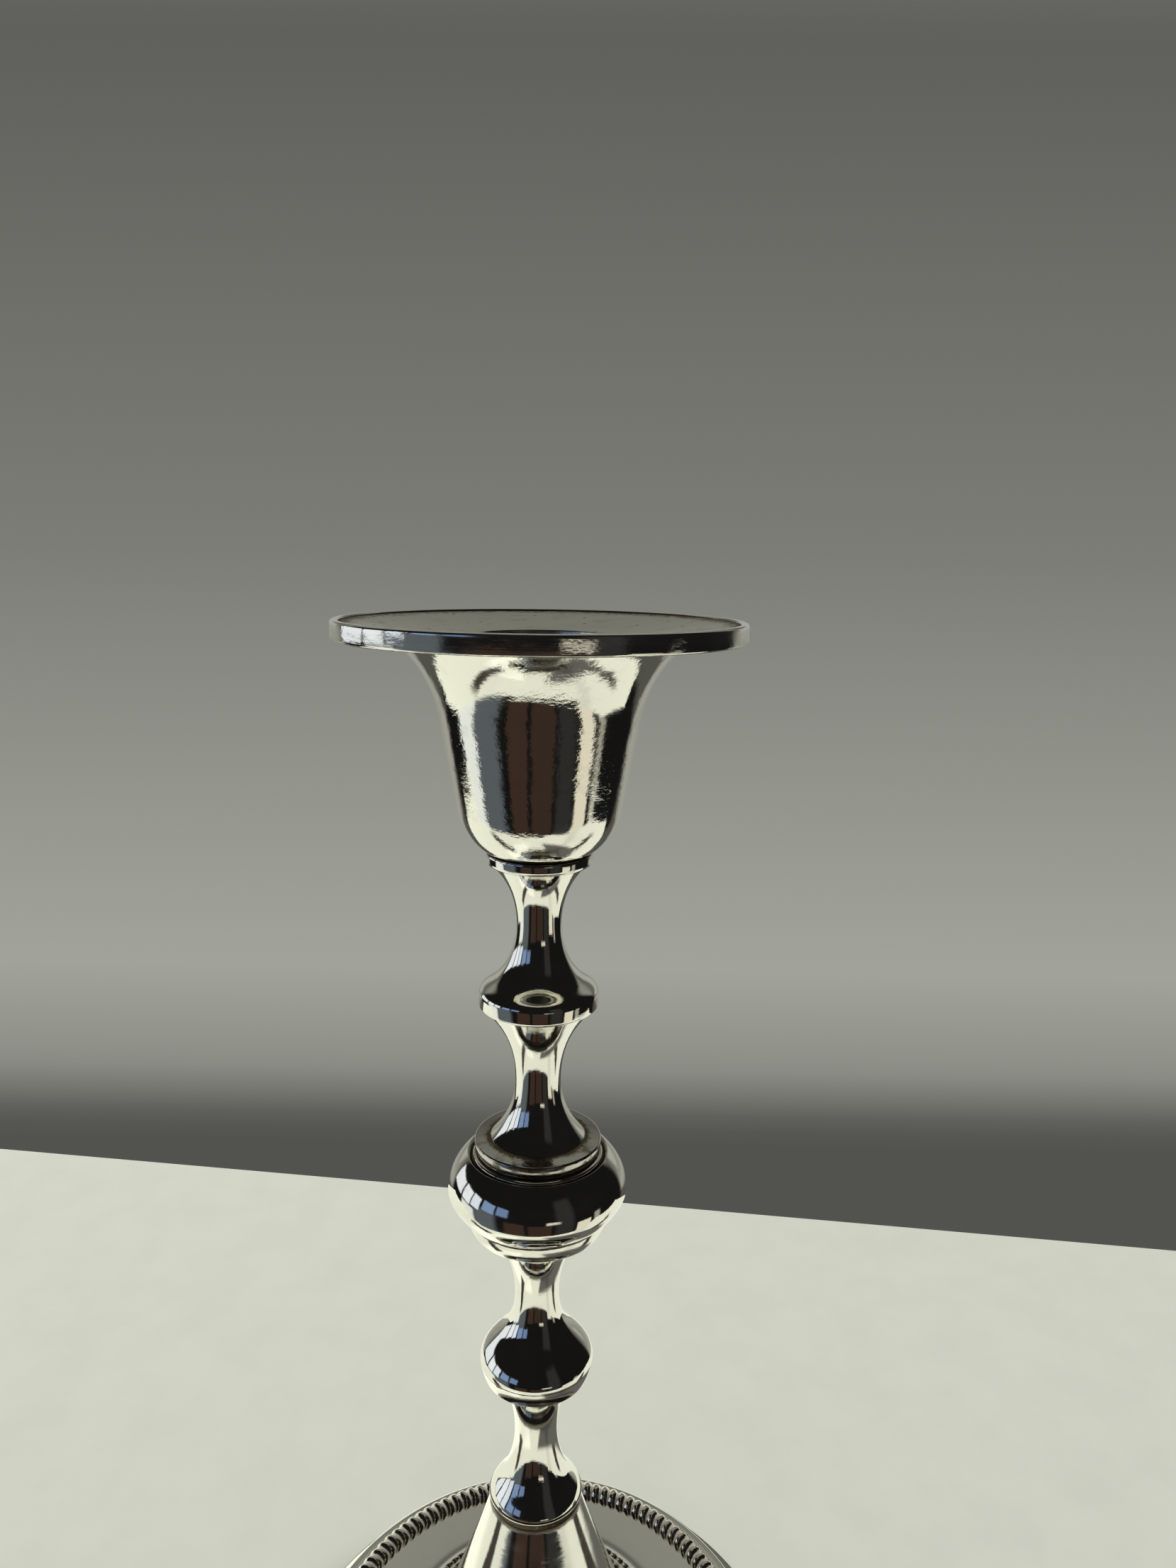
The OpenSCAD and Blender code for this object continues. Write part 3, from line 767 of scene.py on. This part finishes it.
class CANDLESTICK_OT_foot(Operator):
    """Models the foot's dome and plate, its stepped skirt and the edge wire"""

    bl_idname = "candlestick.foot"
    bl_label = "Foot"

    def execute(self, context):
        r = context.scene.candlestick_foot.foot_radius / MM
        plated("foot_dome", "spinning", "Satin foot", [
            (ROD_R, Z_BEAD), (8.95, Z_BEAD),
            [(10.15, 45.3), (13.2, 36.5), (17.6, 25.2), 30],
            [(19.9, 19.3), (24.6, 11.7), (31.5, 11.0), 34],
            (34.2, 10.84), (36.9, 10.71), (39.5, PLATE_Z), (42.0, PLATE_Z - 0.05),
            (44.6, PLATE_Z - 0.05), (44.6, 8.4), (43.6, 8.4), (43.6, 9.6), (39.4, 9.6),
            (31.4, 10.0),
            [(24.2, 10.6), (19.0, 18.6), (16.6, 24.8), 16],
            [(12.2, 36.1), (9.1, 44.9), (7.9, 48.5), 16], (ROD_R, 48.5)],
            [(8.95, 49.4, 0.9), (40.1, PLATE_Z, 0.5), (44.7, PLATE_Z, 0.4)], FINE)
        plated("foot_skirt", "spinning", "Bright skirt", [
            (43.6, 8.4), (44.6, 8.4), (44.7, 7.5), (45.45, 7.5), (45.6, 8.6), (46.6, 8.72),
            (46.84, 8.62),
            [(47.5, 8.6), (48.45, 8.2), (48.5, 7.2), 16], (48.32, 6.9),
            [(49.9, 4.9), (51.4, 3.3), (r - 0.4, 1.8), 16],
            (51.8, 1.8), (47.5, 6.3), (43.6, 6.3)],
            [(48.35, 6.9, 0.3), (r - 0.4, 1.8, 0.15)],
            # The pale painted reflection along the groove and the step outside the lobes
            FINE, ease=0.08, painted_reflection=[(45.05, 7.5, 0.7), (45.5, 8.2, 0.5)])
        plated("foot_wire", "ring", "Rubbed mouldings", [
            (51.5, 1.8), (r - 0.4, 1.8),
            [(r + 0.07, 1.75), (r + 0.07, 0.9), (r - 0.35, 0.8), 14], (51.5, 0.8)],
            [(r - 0.3, 1.8, 0.12)], FINE, ease=0.05)
        return {"FINISHED"}


class CANDLESTICK_OT_gadroon(Operator):
    """Models one slanted lobe and repeats it round the foot"""

    bl_idname = "candlestick.gadroon"
    bl_label = "Gadroon border"

    def execute(self, context):
        foot = context.scene.candlestick_foot
        lobes, rise = foot.lobe_count, foot.lobe_height / MM
        mid, half = LOBE_MID, LOBE_HALF
        pitch = 2 * pi / lobes
        lean = foot.lobe_slant * pitch * mid / (2 * half)
        # Across the border from its middle, in half widths, and up, in lobe heights
        section = [(-1, -0.08), (-1, 0.12), (-0.95, 0.42), (-0.78, 0.72), (-0.5, 0.93),
                   (-0.14, 1.0), (0.24, 0.93), (0.58, 0.74), (0.84, 0.46), (0.98, 0.14),
                   (1, -0.08)]
        points = [(mid + half * x, half * x * lean, PLATE_Z + rise * y) for x, y in section]
        ring = draw_outline("gadroon_border_ring", points)
        swell = 0.58, 0.79, 0.95, 1.0, 0.95, 0.79, 0.58  # from furrow to furrow
        steps = len(swell) - 1
        bpy.ops.mesh.spin(steps=steps, angle=pitch, center=(0, 0, 0), axis=(0, 0, 1))
        weld()
        bpy.ops.object.mode_set(mode="OBJECT")
        place_of = {}  # the step of the spin that each vertex lies at
        world = ring.matrix_world
        for v in ring.data.vertices:
            p = world @ v.co
            turn = atan2(p.y, p.x) - (hypot(p.x, p.y) / MM - mid) * lean / mid
            place_of[v.index] = round(abs(turn) / pitch * steps)
        sign = self.side(ring)
        for station, factor in enumerate(swell):
            for v in ring.data.vertices:
                v.select = place_of[v.index] == station
            for e in ring.data.edges:
                e.select = all(place_of[i] == station for i in e.vertices)
            for f in ring.data.polygons:
                f.select = False
            bpy.ops.object.mode_set(mode="EDIT")
            a = sign * station * pitch / steps
            length = 0.62 + 0.38 * factor
            bpy.ops.transform.resize(
                value=(length, length, factor),
                center_override=(mid * cos(a) * MM, mid * sin(a) * MM, PLATE_Z * MM))
            bpy.ops.object.mode_set(mode="OBJECT")
        bpy.ops.object.mode_set(mode="EDIT")
        bpy.ops.mesh.select_all(action="SELECT")
        bpy.ops.mesh.spin(steps=lobes - 1, angle=2 * pi * (lobes - 1) / lobes, dupli=True,
                          center=(0, 0, 0), axis=(0, 0, 1))
        close_mesh(ring, 62)
        # Tarnish in the corners and furrows, and a pale painted reflection along the outer
        # edge and in the furrows
        mark_crevices(ring, [(40.2, PLATE_Z, 0.4), (44.6, PLATE_Z, 0.5)], lobes, lean / mid,
                      [(44.5, PLATE_Z, 0.4)])
        dress(ring, plate_material("Gadroon plate"), "stick", "silver_plate",
              "gadroon_border")
        return {"FINISHED"}

    def side(self, ring):
        """1 where the spin ran counter-clockwise seen from above, and -1 if not"""
        total = sum(atan2(v.co.y, v.co.x + ring.location.x) for v in ring.data.vertices)
        return 1 if total >= 0 else -1


class CANDLESTICK_OT_core(Operator):
    """Finishes the felt and the hidden rod, nuts, washers, loading and cover"""

    bl_idname = "candlestick.core"
    bl_label = "Felt and core"

    def execute(self, context):
        finish = context.scene.candlestick_finish
        felt, tree, shader = new_material("Baize felt", 0.0, Sheen_Weight=0.35,
                                          Sheen_Roughness=0.6)
        co = object_coords(tree)
        fibres = noise(tree, co, 2600, 4.0, 0.7)
        patches = noise(tree, co, 70, 3.0, 0.6)
        pale = tuple(min(1, c * 1.9 + 0.01) for c in finish.felt_colour)
        tone = blend(tree, remap(tree, fibres, 0.38, 0.68), tuple(finish.felt_colour), pale)
        feed(shader.inputs["Base Color"], blend(
            tree, remap(tree, patches, 0.45, 0.8, 0, 0.6), tone, (0.05, 0.055, 0.035)))
        feed(shader.inputs["Roughness"], remap(tree, fibres, 0.3, 0.7, 0.82, 0.98))
        bump(tree, shader, fibres, 2.2e-4)
        pad = turned("felt_pad_disc", [(0.02, 0.8), (50.9, 0.8), (51.2, 0.5), (51.2, 0.2),
                                       (50.9, 0.0), (0.02, 0.0)], steps=192)
        dress(pad, felt, "stick", "felt", "felt_pad")

        steel = mottled("Zinc-plated steel", 1.0, (0.42, 0.41, 0.38), (0.58, 0.57, 0.53),
                        (0.24, 0.46), 3e-5, (700, 4.0, 0.6))
        loading = mottled("Poured loading", 0.0, (0.10, 0.085, 0.07), (0.24, 0.21, 0.17),
                          (0.7, 0.95), 4e-4, (380, 5.0, 0.65))
        cover = mottled("Cover sheet", 1.0, (0.52, 0.50, 0.45), (0.68, 0.66, 0.60),
                        (0.26, 0.5), 2e-5, (1.0, 3.0, 0.6), (3.0, 2400))
        for node, material, slot in (
                ("weight", loading, "loading"), ("base_cover", cover, "cover_plate"),
                ("tie_rod", steel, "steel"), ("rod_washer_top", steel, "steel"),
                ("rod_nut_top", steel, "steel"), ("rod_washer_base", steel, "steel"),
                ("rod_nut_base", steel, "steel")):
            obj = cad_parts[node]
            obj.data.materials.clear()
            obj.data.materials.append(material)
        return {"FINISHED"}


# Stage


def add_lamp(name, place_at, size, watts, colour):
    """A square lamp aimed at the stick's foot, which metal doesn't mirror"""
    lamp = bpy.data.lights.new(name, "AREA")
    lamp.shape, lamp.size, lamp.size_y = "RECTANGLE", size, size
    lamp.energy, lamp.color = watts, colour
    obj = bpy.data.objects.new(name, lamp)
    bpy.context.scene.collection.objects.link(obj)
    aim = Vector((0, 0, 0.05)) - Vector(place_at)
    obj.location = place_at
    obj.rotation_euler = aim.to_track_quat("-Z", "Y").to_euler()
    obj.visible_glossy = False


class CANDLESTICK_OT_stage(Operator):
    """Sets up the floor, the surroundings, the lamps and the camera"""

    bl_idname = "candlestick.stage"
    bl_label = "Stage"

    def execute(self, context):
        self.floor(context.scene.candlestick_finish.floor_colour)
        self.surroundings(context.scene)
        self.lamps()
        self.camera(context.scene)
        context.scene.view_settings.view_transform = "Standard"
        return {"FINISHED"}

    def floor(self, colour):
        """A pale floor that ends behind the stick. Metal mirrors only the stretch
        next to the foot, rounded off in front, painted brighter and glowing a little,
        with a painted pool of light close by on the left, a painted shadow close by on
        the right, and two painted shadows, dark bands that lie out to the sides and
        draw the edges of the slim waists"""
        turn = radians(-7.24)  # of its back edge, out of square with the camera
        wide, deep, back = 3.0, 1.2, 0.183  # its size and the back edge's distance
        deselect()
        bpy.ops.mesh.primitive_plane_add(size=1, location=(0, 0, 0))
        ground = bpy.context.object
        ground.name = ground.data.name = "stage_floor"
        bpy.ops.transform.resize(value=(wide, deep, 1))
        bpy.ops.transform.translate(value=(0, back - deep / 2, 0))
        bpy.ops.object.transform_apply(location=True, rotation=True, scale=True)
        ground.rotation_euler.z = turn
        bpy.ops.object.transform_apply(location=False, rotation=True, scale=False)
        material, tree, shader = new_material("Pale floor", 0.0, Specular_IOR_Level=0.2,
                                              Roughness=0.75)
        mottle = noise(tree, object_coords(tree), 60, 3.0, 0.55)
        base = blend(tree, remap(tree, mottle, 0.3, 0.75), tuple(colour),
                     tuple(c * 0.96 for c in colour))
        turned_back = tree.nodes.new("ShaderNodeVectorRotate")
        turned_back.rotation_type = "Z_AXIS"
        turned_back.inputs["Angle"].default_value = -turn
        feed(turned_back.inputs["Vector"], object_coords(tree))
        split = tree.nodes.new("ShaderNodeSeparateXYZ")
        feed(split.inputs[0], turned_back.outputs[0])
        across, along = split.outputs[:2]
        out = maths(tree, "ABSOLUTE", across)
        # The mirrored stretch: how far it reaches in front, to the left and right
        ahead, left, right = 0.150, -0.44, 0.34
        corner = times(tree, maths(
            tree, "MAXIMUM", maths(tree, "SUBTRACT", out, 0.06), 0.0), 0.4)
        front = maths(tree, "SUBTRACT", corner, ahead)
        inside = times(tree, maths(tree, "GREATER_THAN", along, front), times(
            tree, maths(tree, "GREATER_THAN", across, left),
            maths(tree, "LESS_THAN", across, right)))
        # The two dark bands with ragged edges: painted shadows, seen only in the metal
        wander = noise(tree, object_coords(tree), 45, 3.0, 0.6)
        aside = maths(tree, "ABSOLUTE", maths(tree, "SUBTRACT", along, times(
            tree, across, 0.28)))
        aside = maths(tree, "ADD", aside, times(tree, wander, 0.02))
        band = times(tree, remap(tree, aside, 0.030, 0.022), times(
            tree, remap(tree, out, 0.066, 0.074), remap(tree, out, 0.24, 0.17)))
        path = tree.nodes.new("ShaderNodeLightPath")
        glossy = path.outputs["Is Glossy Ray"]
        # Seen in the metal the floor is painted brighter, with the painted shadows in dark
        # bands
        mirrored = blend(tree, band, tuple(min(1, c * 1.2) for c in colour),
                         (0.05, 0.042, 0.035))
        # The patches close by, painted shade and light: a painted shadow on the right, and
        # below a painted pool of light on the left
        near = remap(tree, vector(tree, "LENGTH", object_coords(tree)), 0.105, 0.085)
        mirrored = blend(tree, times(tree, near, remap(
            tree, across, 0.022, 0.034)), mirrored, (0.12, 0.12, 0.11))
        feed(shader.inputs["Base Color"], blend(tree, glossy, base, mirrored))
        # The mirrored floor glows, painted light, and glows more in the painted pool of light
        # close by on the left
        feed(shader.inputs["Emission Color"], mirrored)
        feed(shader.inputs["Emission Strength"], times(
            tree, glossy, maths(tree, "ADD", 0.11, times(
                tree, near, remap(tree, across, -0.022, -0.034, 0.0, 0.3)))))
        mix = tree.nodes.new("ShaderNodeMixShader")
        feed(mix.inputs[0], times(tree, glossy, maths(tree, "SUBTRACT", 1.0, inside)))
        tree.links.new(shader.outputs[0], mix.inputs[1])
        tree.links.new(tree.nodes.new("ShaderNodeBsdfTransparent").outputs[0], mix.inputs[2])
        tree.links.new(mix.outputs[0], tree.nodes["Material Output"].inputs["Surface"])
        ground.data.materials.append(material)

    def surroundings(self, scene):
        """A grey backdrop with painted light and shade, paler towards the floor and with a
        painted shadow in a dark band right above it. Metal also mirrors a dark studio in
        front of the stick, with pale and coloured panels in it"""
        world = bpy.data.worlds.new("Studio")
        scene.world = world
        world.use_nodes = True
        tree = world.node_tree
        out = tree.nodes["World Output"]
        glow = tree.nodes["Background"]
        split = tree.nodes.new("ShaderNodeSeparateXYZ")
        feed(split.inputs[0], tree.nodes.new("ShaderNodeTexCoord").outputs["Generated"])
        x, y, z = split.outputs
        turn = maths(tree, "DEGREES", maths(tree, "ARCTAN2", x, times(tree, y, -1.0)))
        tilt = maths(tree, "DEGREES", maths(tree, "ARCSINE", z))
        ramp = tree.nodes.new("ShaderNodeValToRGB")
        # (angle above the horizon, brightness); these are painted light and shade, with a
        # painted shadow in the dark band just above the floor's back edge
        stops = [(-90, 0.08), (-29.5, 0.085), (-28.4, 0.10), (-25.8, 0.265), (-21, 0.36),
                 (-11.75, 0.29), (0, 0.20), (22, 0.115), (32, 0.22), (52, 0.27), (62, 0.14),
                 (72, 0.04), (90, 0.03)]
        bar = ramp.color_ramp
        for angle, level in stops[1:-1]:
            bar.elements.new((angle + 90) / 180)
        for element, (angle, level) in zip(bar.elements, stops):
            element.position = (angle + 90) / 180
            element.color = (level, level * 1.02, level * 0.91, 1)
        # The shades run level, as along a flat backdrop
        rise = maths(tree, "DEGREES", maths(tree, "ARCTANGENT", maths(
            tree, "DIVIDE", z, maths(tree, "MAXIMUM", maths(tree, "ABSOLUTE", y), 0.6))))
        feed(ramp.inputs[0], remap(tree, rise, -90, 90, smooth=False))
        backdrop = ramp.outputs[0]
        front = self.panel(tree, turn, tilt, -130, 130, -95, 95, 5)
        seen = blend(tree, front, backdrop, (0.007, 0.007, 0.0068))
        panels = (
            # left, right, low, high and softness in degrees, colour
            (-103, -80, -60, -8, 2, (0.80, 0.84, 0.82)),
            (-80, -50, -60, 2, 5, (0.095, 0.110, 0.125)),
            (-128, -106, -6, 13, 1.0, (0.80, 0.86, 0.93)),
            (-103, -88, -6, 15, 1.0, (0.84, 0.90, 0.98)),
            (-86, -73, -4, 17, 1.0, (0.72, 0.80, 0.92)),
            (-69, -52, 1, 19, 1.0, (0.20, 0.29, 0.50)),
            (-49, -34, 3, 20, 1.0, (0.15, 0.22, 0.40)),
            (-38, -14, -75, -6, 1.0, (0.043, 0.026, 0.019)),
            (-9, 20, -75, -8, 1.0, (0.038, 0.024, 0.018)),
            (25, 47, -60, 40, 4, (0.026, 0.026, 0.025)),
            (13, 30, -6.5, -3.0, 2.0, (0.80, 0.76, 0.64)),
            (52, 70, -60, -14, 1.0, (0.74, 0.70, 0.57)),
            (75, 83, -50, -8, 2, (0.34, 0.33, 0.28)),
            (-181, -138, -4, 11, 3, (0.38, 0.39, 0.35)),
            (138, 181, -4, 11, 3, (0.38, 0.39, 0.35)),
        )
        for left, right, low, high, soft, colour in panels:
            seen = blend(tree, self.panel(tree, turn, tilt, left, right, low, high, soft),
                         seen, colour)
        path = tree.nodes.new("ShaderNodeLightPath")
        lit = blend(tree, path.outputs["Is Glossy Ray"], (0.40, 0.405, 0.41), seen)
        feed(glow.inputs["Color"], blend(
            tree, path.outputs["Is Camera Ray"], lit, backdrop))
        tree.links.new(glow.outputs[0], out.inputs[0])

    def panel(self, tree, turn, tilt, left, right, low, high, soft):
        """1 inside a panel given by its turn and tilt in degrees, seen from the stick"""
        sides = (remap(tree, turn, left - soft, left + soft),
                 remap(tree, turn, right + soft, right - soft),
                 remap(tree, tilt, low - soft, low + soft),
                 remap(tree, tilt, high + soft, high - soft))
        mask = sides[0]
        for side in sides[1:]:
            mask = times(tree, mask, side)
        return mask

    def lamps(self):
        """A key light behind on the left and a softer fill behind on the right"""
        add_lamp("Key light", (-1.90, 1.10, 1.50), 0.5, 46.0, (1.0, 0.99, 0.96))
        add_lamp("Fill light", (1.95, 0.75, 1.10), 0.8, 22.0, (1.0, 0.98, 0.94))

    def camera(self, scene):
        """The camera fitted to the photograph"""
        data = bpy.data.cameras.new("Camera")
        data.lens, data.sensor_width = 25.813, 36
        data.clip_start, data.clip_end = 0.01, 20
        cam = bpy.data.objects.new("Camera", data)
        scene.collection.objects.link(cam)
        pitch, roll = radians(11.75), radians(0.854)
        ahead = Vector((0, cos(pitch), -sin(pitch)))
        above = Vector((0, sin(pitch), cos(pitch)))
        aside = Vector((1, 0, 0))
        right = aside * cos(roll) + above * sin(roll)
        up = above * cos(roll) - aside * sin(roll)
        cam.matrix_world = Matrix.Translation((0.00836, -0.1918, 0.2347)) @ Matrix(
            (right, up, -ahead)).transposed().to_4x4()
        scene.camera = cam


class CANDLESTICK_PT_sidebar(Panel):
    """Sizes, finishes and building steps of the candlestick"""

    bl_idname = "CANDLESTICK_PT_sidebar"
    bl_label = "Candlestick"
    bl_space_type = "VIEW_3D"
    bl_region_type = "UI"
    bl_category = "Candlestick"

    def draw(self, context):
        scene = context.scene
        for title, held in (("Nozzle", scene.candlestick_nozzle),
                            ("Cup and stem", scene.candlestick_stem),
                            ("Foot", scene.candlestick_foot),
                            ("Finish", scene.candlestick_finish)):
            box = self.layout.box()
            box.label(text=title)
            for label in type(held).__annotations__:
                box.prop(held, label)
        for step in STEPS:
            self.layout.operator(step.bl_idname)


STEPS = (CANDLESTICK_OT_nozzle, CANDLESTICK_OT_cup, CANDLESTICK_OT_upper_stem,
         CANDLESTICK_OT_knop, CANDLESTICK_OT_lower_stem, CANDLESTICK_OT_foot,
         CANDLESTICK_OT_gadroon, CANDLESTICK_OT_core, CANDLESTICK_OT_stage)
GROUPS = {"candlestick_nozzle": CandlestickNozzle, "candlestick_stem": CandlestickStem,
          "candlestick_foot": CandlestickFoot, "candlestick_finish": CandlestickFinish}


def register():
    for cls in (*GROUPS.values(), *STEPS, CANDLESTICK_PT_sidebar):
        bpy.utils.register_class(cls)
    for name, cls in GROUPS.items():
        setattr(bpy.types.Scene, name, PointerProperty(type=cls))


def unregister():
    for name in GROUPS:
        delattr(bpy.types.Scene, name)
    for cls in reversed((*GROUPS.values(), *STEPS, CANDLESTICK_PT_sidebar)):
        bpy.utils.unregister_class(cls)


def main():
    register()
    bpy.ops.candlestick.nozzle()
    bpy.ops.candlestick.cup()
    bpy.ops.candlestick.upper_stem()
    bpy.ops.candlestick.knop()
    bpy.ops.candlestick.lower_stem()
    bpy.ops.candlestick.foot()
    bpy.ops.candlestick.gadroon()
    bpy.ops.candlestick.core()
    bpy.ops.candlestick.stage()


if __name__ == "__main__":
    main()
